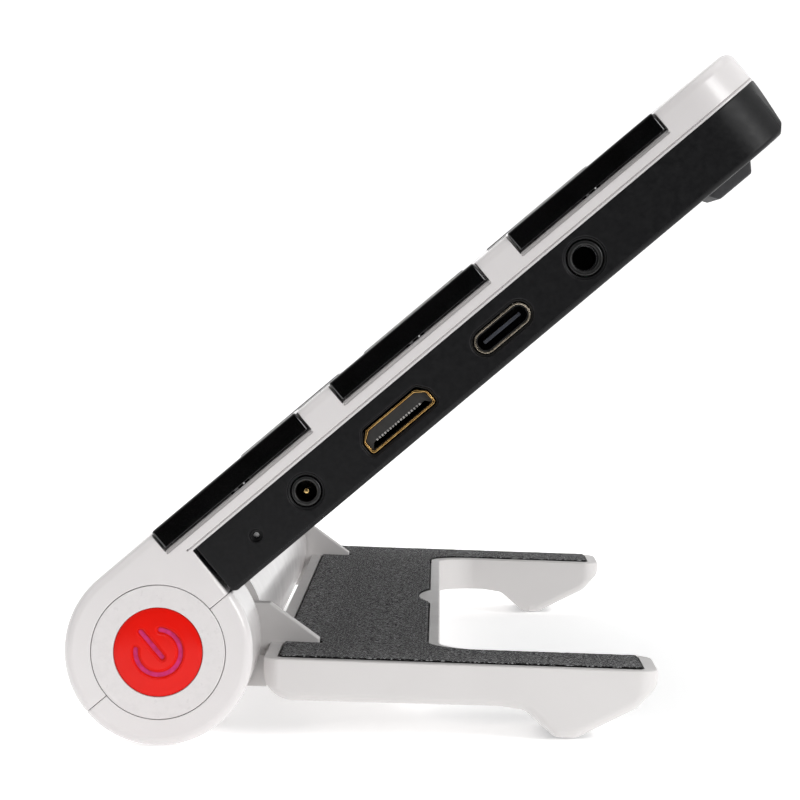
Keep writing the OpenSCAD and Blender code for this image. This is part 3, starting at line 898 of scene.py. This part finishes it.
def build_usb_socket():
    shell = drawn("usb_shell", usb_outline(0), -HALF_W + 0.12, -HALF_W + 8)
    carve(shell, drawn("mouth", usb_outline(-0.22), -HALF_W - 1, -HALF_W + 7))
    soften(shell, 0.06, 2)
    set_down(shell, CONSOLE, "console", "socket_steel", ["usb_socket"], look="warm_steel")
    liner = drawn("usb_liner", usb_outline(-0.24), -HALF_W + 0.35, -HALF_W + 6.9)
    carve(liner, drawn("liner mouth", usb_outline(-0.42), -HALF_W - 1, -HALF_W + 6.5))
    soften(liner, 0.05, 2)
    set_down(liner, CONSOLE, "console", "socket_black")
    x, z = USB_AT
    tongue = block("usb_tongue", (x - 3.2, -HALF_W + 1.3, z - 0.26), (x + 3.2, -HALF_W + 6.45, z + 0.26))
    soften(tongue, 0.1, 2)
    set_down(tongue, CONSOLE, "console", "socket_steel", look="tongue_grey")
    contact = block("usb_contacts", (x - 2.9, -HALF_W + 1.7, z + 0.2), (x - 2.65, -HALF_W + 5, z + 0.3))
    row = repeated(soften(contact, 0.03, 1), 12, 0.5)
    set_down(row, CONSOLE, "console", "socket_gold", look="contact_gold")


def build_audio_socket():
    ring = into_side(AUDIO_AT, 0.2, 12, AUDIO_R, "audio_barrel", 64)
    carve(ring, into_side(AUDIO_AT, -1, 11.5, 1.78))
    soften(ring, 0.26, 3)
    set_down(ring, CONSOLE, "console", "socket_black", ["audio_socket"])
    sleeve = into_side(AUDIO_AT, 2.5, 4.5, 1.77, "audio_contact", 48)
    carve(sleeve, into_side(AUDIO_AT, 1, 6, 1.62))
    set_down(sleeve, CONSOLE, "console", "socket_steel")


def build_sockets():
    build_dc_socket()
    build_video_socket()
    build_usb_socket()
    build_audio_socket()


def build_rear_details():
    n = BACK_N
    bumpers = []
    for side in (-1, 1):
        y = sorted((side * 56, side * 74))
        bumpers.append(drawn("rear_blocks", [
            (98.5, n), (99.8, n - 2), (105.6, n - 2), (107, n)], y[0], y[1]))
        y = sorted((side * 46, side * 51))
        bumpers.append(drawn("small block", [
            (95.5, n), (96.3, n - 1.4), (99.2, n - 1.4), (100, n)], y[0], y[1]))
    for piece in bumpers:
        soften(piece, 0.3, 3)
    blocks = joined(*bumpers)
    set_down(blocks, CONSOLE, "console", "foot_rubber", ["rear_bumpers"])
    screws = []
    for s, y in SCREW_PLACES:
        screw = rod("case_screw_heads", 2.1, (s, y, n + 0.1), (s, y, n + 0.75), 40)
        weld(screw, rod("shank", 1.0, (s, y, n + 0.7), (s, y, n + 5.7), 24))
        carve(screw, block("cross", (s - 1.2, y - 0.25, n - 0.5), (s + 1.2, y + 0.25, n + 0.5)),
              block("cross", (s - 0.25, y - 1.2, n - 0.5), (s + 0.25, y + 1.2, n + 0.5)))
        screws.append(soften(screw, 0.08, 2))
    set_down(joined(*screws), CONSOLE, "console", "screw_steel", ["case_screws"])


# ---- Pieces of the stand ----

BASE_HALF_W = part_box("base_tray")[1].y / MM
LEG_W = 16.9
TRAY_U = span("base_tray", STAND)[0].x
LEG_END_U = span("base_tray", STAND)[1].x
BAR_END_U = 38.6
TRAY_TOP_V = -1.1
FELT_LOW, FELT_HIGH = span("felt_pad", STAND)
RIM = 1.7
FILLET_R = 7.0
PAD_PROUD = 0.11
FELT_TAB_R = 27.3
FELT_TAB_DEPTH = 1.9


def u_outline(start, end, outer, inner, bar_end, tip_r, start_r, notches=()):
    """Plan of a U with its legs along X. notches are corners to add along the closed end."""
    return [(start, -outer, start_r), (end, -outer, tip_r), (end, -inner, tip_r),
            (bar_end, -inner, FILLET_R), (bar_end, inner, FILLET_R), (end, inner, tip_r),
            (end, outer, tip_r), (start, outer, start_r), *notches]


def felt_notches():
    """Cuts in the felt's rear edge for the gussets."""
    u, arm_end = FELT_LOW.x, 21.4
    arm = (ARM_Y[0] - 0.3, ARM_Y[1] + 0.3)
    return [(u, arm[1]), (arm_end, arm[1], 0.3), (arm_end, arm[0], 0.3), (u, arm[0]),
            (u, -arm[0]), (arm_end, -arm[0], 0.3), (arm_end, -arm[1], 0.3), (u, -arm[1])]


def felt_tab(name, low, high, radius):
    """The tab that stands into the felt from the middle of the crossbar's open side."""
    u = BAR_END_U - RIM - FELT_TAB_DEPTH + FELT_TAB_R
    disc = rod(name, radius, (u, 0, low), (u, 0, high), 256)
    return overlap(disc, block("reach", (10, -30, low - 1), (BAR_END_U - 0.8, 30, high + 1)))


def leg_profile(top):
    return [(TRAY_U, top), (LEG_END_U, top), (LEG_END_U, -3.2, 2.0), (66.4, -6.4, 3.0),
            (57.9, -10.95, 2.2), (55.0, -10.95, 1.8), (50.6, -7.3, 2.4), (47.0, -6.85, 3.0),
            (TRAY_U, -7.1, 4.2)]


def foot_pad_block(side, name, gap=0.0):
    low, high = (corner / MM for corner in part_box(f"foot_pad_{side}"))
    room = Vector((gap, gap, 0))
    return block(name, low - room, high + room + Vector((0, 0, gap)))


def build_tray():
    t, end, inner = TRAY_U, LEG_END_U, BASE_HALF_W - LEG_W
    legs = []
    for sign in (-1, 1):
        leg = drawn("stand_tray", leg_profile(3), *sorted((sign * inner, sign * BASE_HALF_W)))
        legs.append(round_edges(leg, 1.4, 6, lambda a, b: abs(a.y - b.y) < 0.01, 60))
    bar = drawn("bar", leg_profile(3), -inner - 8, inner + 8)
    overlap(bar, drawn("bar plan", [
        (t - 1, -75.5), (56, -75.5), (56, -inner - 0.02), (BAR_END_U, -inner - 0.02, FILLET_R),
        (BAR_END_U, inner + 0.02, FILLET_R), (56, inner + 0.02), (56, 75.5), (t - 1, 75.5),
    ], -20, 5, "Z"))
    tray = weld(legs[0], legs[1], bar)
    plan = drawn("plan", u_outline(t, end, BASE_HALF_W, inner, BAR_END_U, 3.0, 2.4),
                 -20, TRAY_TOP_V, "Z")
    round_edges(plan, 0.32, 3, lambda a, b: min(a.z, b.z) > TRAY_TOP_V - 0.01, 60)
    overlap(tray, plan)
    felt_half, felt_in = FELT_HIGH.y + 0.1, inner + RIM - 0.1
    carve(tray, drawn("felt seat", u_outline(
        FELT_LOW.x - 0.1, FELT_HIGH.x + 0.1, felt_half, felt_in, BAR_END_U - RIM + 0.1, 1.0, 1.0,
    ), FELT_LOW.z, 3, "Z"))
    weld(tray, felt_tab("tab", FELT_LOW.z - 0.5, TRAY_TOP_V, FELT_TAB_R - 0.1))
    for side, sign in SIDES.items():
        y = sorted((sign * 6, sign * 48))
        carve(tray, block("rail slot", (t - 1, y[0], -4.6), (t + 1.2, y[1], -2.2)))
        y = sorted((sign * (ARM_Y[0] - 0.05), sign * (ARM_Y[1] + 0.05)))
        pad_seat = foot_pad_block(side, "pad seat", 0.05)
        pad_seat.matrix_world = STAND.inverted() @ Matrix.Scale(MM, 4)
        pick(pad_seat)
        bpy.ops.object.transform_apply()
        carve(tray, block("arm seat", (t - 1, y[0], -3.15), (21.45, y[1], 1)),
              rod("screw hole", 1.1, (18, sign * 69.5, -9), (18, sign * 69.5, -2.8), 24),
              rod("screw seat", 2.0, (18, sign * 69.5, -9), (18, sign * 69.5, -6.6), 32), pad_seat)
    carve(tray, block("underside", (t + 2, -inner, -9), (BAR_END_U - 1.6, inner, -5.2)))
    clean(tray)
    set_down(tray, STAND, "stand", "stand_white", ["base_tray"], smooth=28)


def build_felt():
    pad = drawn("felt_lining", u_outline(
        FELT_LOW.x, FELT_HIGH.x, FELT_HIGH.y, BASE_HALF_W - LEG_W + RIM, BAR_END_U - RIM, 1.0, 1.0,
        felt_notches()), FELT_LOW.z + 0.05, FELT_HIGH.z - 0.06, "Z")
    carve(pad, felt_tab("tab space", FELT_LOW.z - 1, 3, FELT_TAB_R))
    remesh = pad.modifiers.new("even mesh", "REMESH")
    remesh.mode = "VOXEL"
    remesh.voxel_size = 0.42
    apply_modifier(pad, remesh)
    nap = bpy.data.textures.new("felt nap", "CLOUDS")
    nap.noise_scale = 0.8
    nap.noise_depth = 2
    displace = pad.modifiers.new("nap", "DISPLACE")
    displace.texture = nap
    displace.strength = size_of("felt_nap")
    displace.mid_level = 0.6
    apply_modifier(pad, displace)
    set_down(pad, STAND, "stand", "felt_grey", ["felt_pad"], smooth=180)


def build_arms():
    low_y, high_y = ARM_Y
    hub_y = (ARM_Y[0], 71.9)
    arm = drawn("gusset_left", [
        (2, 4.6), (13.8, 4.6, 0.4), (21.1, -0.4, 0.2), (21.1, -3.1), (TRAY_U, -3.1), (TRAY_U, -7.0),
        (8, -7.0), (2, -4)], low_y, high_y)
    soften(arm, 0.22, 3)
    hub = rod("hub", HUB_R, (0, hub_y[0] + 0.01, 0), (0, hub_y[1], 0), 96)
    carve(hub, rod("bore", 2.5, (0, hub_y[0] - 1, 0), (0, hub_y[1] - 1.5, 0), 48))
    soften(hub, 0.3, 3)
    web = block("web", (8.6, low_y + 0.13, -6.9), (TRAY_U - 0.01, hub_y[1] - 0.3, -2.2))
    weld(arm, hub, soften(web, 0.25, 2))
    clean(arm, 0.01)
    other = mirrored(arm, "gusset_right")
    for piece, node in ((arm, "hinge_arm_left"), (other, "hinge_arm_right")):
        set_down(piece, STAND, "stand", "stand_white", [node])


def build_foot_pads():
    for side in SIDES:
        pad = foot_pad_block(side, f"foot_rubber_{side}")
        round_edges(pad, 1.5, 5, lambda a, b: abs(a.z - b.z) > 1)
        shape = drawn("foot shape", leg_profile(3), -BASE_HALF_W, BASE_HALF_W)
        shape.matrix_world = (Matrix.Translation((0, 0, -PAD_PROUD)) @ Matrix.Scale(1 / MM, 4) @ STAND)
        pick(shape)
        bpy.ops.object.transform_apply()
        overlap(pad, shape)
        set_down(clean(pad), Matrix.Scale(MM, 4), "stand", "foot_rubber", [f"foot_pad_{side}"])


# ---- CAD nodes whose shape stays: inner parts, shafts and screws ----

KEPT_NODES = {
    "display_panel": "panel_metal", "display_cable": "cable_amber", "main_board": "board_green",
    "key_board": "board_green", "battery_pack": "battery_wrap", "microphone": "panel_metal",
    "speaker_right": "socket_black", "speaker_left": "socket_black", "power_switch": "panel_metal",
    "key_domes": "key_silicone", "hinge_bracket_right": "hinge_steel",
    "hinge_bracket_left": "hinge_steel", "hinge_shaft_right": "hinge_steel",
    "hinge_shaft_left": "hinge_steel", "base_screws": "screw_steel",
}


def finish_kept_nodes():
    for node, name in KEPT_NODES.items():
        piece = frame["nodes"][node]
        piece.data.materials.clear()
        piece.data.materials.append(finish(name))


# ---- Stage ----

CAMERA_OFFSET = Vector((38.6, -469, 50.3)) * MM
LENS_MM = 125.5
FLOOR_FRONT = -0.26
AIM_LEFT = math.radians(0.83)
AIM_DOWN = math.radians(2.38)


def build_camera():
    data = bpy.data.cameras.new("camera")
    data.lens = LENS_MM
    data.sensor_width = 36
    data.clip_start = 0.01
    camera = bpy.data.objects.new("camera", data)
    bpy.context.scene.collection.objects.link(camera)
    camera.location = HINGE + CAMERA_OFFSET
    aim = Vector((-math.sin(AIM_LEFT), math.cos(AIM_LEFT), -math.sin(AIM_DOWN)))
    camera.rotation_euler = aim.to_track_quat("-Z", "Y").to_euler()
    bpy.context.scene.camera = camera


def build_floor():
    """A sweep: flat under the object, curving up into a wall behind it."""
    sweep = drawn("floor", [(FLOOR_FRONT, -0.0302), (2.2, -0.0302), (2.2, 3), (2.17, 3),
                            (2.17, -0.0002, 1.2), (FLOOR_FRONT, -0.0002)], -4, 4)
    pick(sweep)
    sweep.matrix_world = Matrix.Rotation(math.radians(90), 4, "Z")
    bpy.ops.object.transform_apply()
    bpy.ops.object.shade_smooth_by_angle(angle=math.radians(30))
    sweep.data.materials.clear()
    pale = Finish("pale floor", (0.92, 0.92, 0.92), 0.8).bumpy(30, 0.02).sets(
        Emission_Color=(1, 1, 1, 1), Emission_Strength=bpy.context.scene.stage_settings.floor_glow)
    sweep.data.materials.append(pale.material)


def area_light(name, size, place, target, power):
    data = bpy.data.lights.new(name, "AREA")
    data.shape = "RECTANGLE"
    data.size, data.size_y = size
    data.energy = power
    lamp = bpy.data.objects.new(name, data)
    bpy.context.scene.collection.objects.link(lamp)
    lamp.location = place
    lamp.rotation_euler = (Vector(target) - Vector(place)).to_track_quat("-Z", "Y").to_euler()


def build_world():
    """White all round, darker behind the camera, so that gloss facing it stays deep."""
    settings = bpy.context.scene.stage_settings
    world = bpy.data.worlds.new("studio")
    bpy.context.scene.world = world
    world.use_nodes = True
    nodes, links = world.node_tree.nodes, world.node_tree.links
    background = nodes["Background"]
    background.inputs["Color"].default_value = (1, 1, 1, 1)
    place = nodes.new("ShaderNodeTexCoord")
    dot = nodes.new("ShaderNodeVectorMath")
    dot.operation = "DOT_PRODUCT"
    dot.inputs[1].default_value = (0.05, -0.99, 0.1)
    links.new(place.outputs["Generated"], dot.inputs[0])
    ranged = nodes.new("ShaderNodeMapRange")
    ranged.inputs["From Min"].default_value = 0.7
    ranged.inputs["From Max"].default_value = 0.94
    ranged.inputs["To Min"].default_value = settings.ambient
    ranged.inputs["To Max"].default_value = settings.behind_camera
    links.new(dot.outputs["Value"], ranged.inputs["Value"])
    path = nodes.new("ShaderNodeLightPath")
    mix = nodes.new("ShaderNodeMix")
    mix.inputs["B"].default_value = 1.05
    links.new(path.outputs["Is Camera Ray"], mix.inputs["Factor"])
    links.new(ranged.outputs[0], mix.inputs["A"])
    links.new(mix.outputs["Result"], background.inputs["Strength"])


def build_stage():
    build_camera()
    build_floor()
    build_world()
    power = bpy.context.scene.stage_settings.light_power
    area_light("top softbox", (1.2, 1.2), (0.1, 0.1, 1.3), (0, 0, 0), power)
    area_light("left softbox", (0.6, 0.9), (-1.0, -0.5, 0.7), (0, 0, 0.04), power * 0.35)
    area_light("right softbox", (0.5, 0.6), (0.9, -0.72, 0.5), (0, 0, 0.03), power * 1.4)
    bpy.context.scene.view_settings.view_transform = "Standard"


# ---- Add-on layout ----


class ConsoleSizes(bpy.types.PropertyGroup):
    """Rounds and small heights that change the look and not the fit."""

    rim_round: FloatProperty(
        name="Rim round", description="Radius of the round along the sides of the white case",
        default=0.00135, min=0.0002, max=0.002, precision=5, unit="LENGTH")
    top_round: FloatProperty(
        name="Top round", description="Radius of the round along the top of the white case",
        default=0.00205, min=0.0002, max=0.003, precision=5, unit="LENGTH")
    key_round: FloatProperty(
        name="Key round", description="Radius of the rounds on the side keys",
        default=0.0003, min=0.0001, max=0.0008, precision=5, unit="LENGTH")
    felt_nap: FloatProperty(
        name="Felt nap", description="Height of the felt's uneven surface",
        default=0.0001, min=0, max=0.0003, precision=5, unit="LENGTH")


class ConsoleColours(bpy.types.PropertyGroup):
    """Colours of the moulded parts."""

    shell: FloatVectorProperty(
        name="Shell", description="Glossy white of the front case and barrel", subtype="COLOR",
        default=(0.72, 0.695, 0.693), min=0, max=1)
    stand: FloatVectorProperty(
        name="Stand", description="Satin white of the folding stand", subtype="COLOR",
        default=(0.7, 0.68, 0.672), min=0, max=1)
    keys: FloatVectorProperty(
        name="Keys", description="Piano black of the side keys", subtype="COLOR",
        default=(0.0015, 0.0015, 0.0016), min=0, max=1)
    button: FloatVectorProperty(
        name="Button", description="Red of the power button", subtype="COLOR",
        default=(0.76, 0.0095, 0.005), min=0, max=1)


class StageSettings(bpy.types.PropertyGroup):
    """Light of the studio."""

    ambient: FloatProperty(
        name="Ambient", description="Brightness of the white surroundings", default=0.56, min=0, max=5)
    behind_camera: FloatProperty(
        name="Behind camera", description="Brightness of the side that the camera stands on",
        default=0.015, min=0, max=5)
    floor_glow: FloatProperty(
        name="Floor glow", description="Light that the floor gives off, which keeps it near white",
        default=0.43, min=0, max=2)
    light_power: FloatProperty(
        name="Top light", description="Power of the softbox above", default=5.0, min=0, max=500,
        unit="POWER")


class CONSOLE_OT_stage(bpy.types.Operator):
    """Set up the camera, the floor and the lights"""

    bl_idname = "console.stage"
    bl_label = "Stage"

    def execute(self, context):
        build_stage()
        return {"FINISHED"}


class CONSOLE_OT_front_case(bpy.types.Operator):
    """Build the white front case with the key notches"""

    bl_idname = "console.front_case"
    bl_label = "Front case"

    def execute(self, context):
        build_front_shell()
        return {"FINISHED"}


class CONSOLE_OT_rear_case(bpy.types.Operator):
    """Build the black rear case with the socket openings"""

    bl_idname = "console.rear_case"
    bl_label = "Rear case"

    def execute(self, context):
        build_rear_shell()
        return {"FINISHED"}


class CONSOLE_OT_barrel_covers(bpy.types.Operator):
    """Build the rear half of the hinge barrel"""

    bl_idname = "console.barrel_covers"
    bl_label = "Barrel covers"

    def execute(self, context):
        build_barrel_covers()
        return {"FINISHED"}


class CONSOLE_OT_end_caps(bpy.types.Operator):
    """Build the discs in the ends of the barrel"""

    bl_idname = "console.end_caps"
    bl_label = "End caps"

    def execute(self, context):
        build_end_caps()
        return {"FINISHED"}


class CONSOLE_OT_power_button(bpy.types.Operator):
    """Build the crowned button with its sign"""

    bl_idname = "console.power_button"
    bl_label = "Power button"

    def execute(self, context):
        build_power_button()
        return {"FINISHED"}


class CONSOLE_OT_side_keys(bpy.types.Operator):
    """Build the three bars on each side"""

    bl_idname = "console.side_keys"
    bl_label = "Side keys"

    def execute(self, context):
        build_keys()
        return {"FINISHED"}


class CONSOLE_OT_display(bpy.types.Operator):
    """Build the cover glass and the picture area"""

    bl_idname = "console.display"
    bl_label = "Display"

    def execute(self, context):
        build_display()
        return {"FINISHED"}


class CONSOLE_OT_sockets(bpy.types.Operator):
    """Build the power, video, data and sound sockets"""

    bl_idname = "console.sockets"
    bl_label = "Sockets"

    def execute(self, context):
        build_sockets()
        return {"FINISHED"}


class CONSOLE_OT_rear_details(bpy.types.Operator):
    """Build the rubber blocks and the screw heads"""

    bl_idname = "console.rear_details"
    bl_label = "Rear details"

    def execute(self, context):
        build_rear_details()
        return {"FINISHED"}


class CONSOLE_OT_stand_tray(bpy.types.Operator):
    """Build the U-shaped tray with its feet"""

    bl_idname = "console.stand_tray"
    bl_label = "Stand tray"

    def execute(self, context):
        build_tray()
        return {"FINISHED"}


class CONSOLE_OT_felt(bpy.types.Operator):
    """Build the felt lining of the tray"""

    bl_idname = "console.felt"
    bl_label = "Felt"

    def execute(self, context):
        build_felt()
        return {"FINISHED"}


class CONSOLE_OT_hinge_arms(bpy.types.Operator):
    """Build the gussets and hubs of the stand"""

    bl_idname = "console.hinge_arms"
    bl_label = "Hinge arms"

    def execute(self, context):
        build_arms()
        return {"FINISHED"}


class CONSOLE_OT_foot_pads(bpy.types.Operator):
    """Build the rubber under the feet"""

    bl_idname = "console.foot_pads"
    bl_label = "Foot pads"

    def execute(self, context):
        build_foot_pads()
        return {"FINISHED"}


class CONSOLE_OT_inner_parts(bpy.types.Operator):
    """Give the inner parts their finishes"""

    bl_idname = "console.inner_parts"
    bl_label = "Inner parts"

    def execute(self, context):
        finish_kept_nodes()
        return {"FINISHED"}


OPERATORS = [
    CONSOLE_OT_stage, CONSOLE_OT_front_case, CONSOLE_OT_rear_case, CONSOLE_OT_barrel_covers,
    CONSOLE_OT_end_caps, CONSOLE_OT_power_button, CONSOLE_OT_side_keys, CONSOLE_OT_display,
    CONSOLE_OT_sockets, CONSOLE_OT_rear_details, CONSOLE_OT_stand_tray, CONSOLE_OT_felt,
    CONSOLE_OT_hinge_arms, CONSOLE_OT_foot_pads, CONSOLE_OT_inner_parts,
]


class CONSOLE_PT_pieces(bpy.types.Panel):
    """Lists the pieces and the settings."""

    bl_label = "Console"
    bl_idname = "CONSOLE_PT_pieces"
    bl_space_type = "VIEW_3D"
    bl_region_type = "UI"
    bl_category = "Console"

    def draw(self, context):
        scene = context.scene
        for group in (scene.console_sizes, scene.console_colours, scene.stage_settings):
            for name in group.__annotations__:
                self.layout.prop(group, name)
        for operator in OPERATORS:
            self.layout.operator(operator.bl_idname)


CLASSES = [ConsoleSizes, ConsoleColours, StageSettings, *OPERATORS, CONSOLE_PT_pieces]


def register():
    for cls in CLASSES:
        bpy.utils.register_class(cls)
    bpy.types.Scene.console_sizes = PointerProperty(type=ConsoleSizes)
    bpy.types.Scene.console_colours = PointerProperty(type=ConsoleColours)
    bpy.types.Scene.stage_settings = PointerProperty(type=StageSettings)


def unregister():
    del bpy.types.Scene.console_sizes
    del bpy.types.Scene.console_colours
    del bpy.types.Scene.stage_settings
    for cls in reversed(CLASSES):
        bpy.utils.unregister_class(cls)


def main():
    register()
    bpy.ops.console.stage()
    bpy.ops.console.front_case()
    bpy.ops.console.rear_case()
    bpy.ops.console.barrel_covers()
    bpy.ops.console.end_caps()
    bpy.ops.console.power_button()
    bpy.ops.console.side_keys()
    bpy.ops.console.display()
    bpy.ops.console.sockets()
    bpy.ops.console.rear_details()
    bpy.ops.console.stand_tray()
    bpy.ops.console.felt()
    bpy.ops.console.hinge_arms()
    bpy.ops.console.foot_pads()
    bpy.ops.console.inner_parts()


if __name__ == "__main__":
    main()
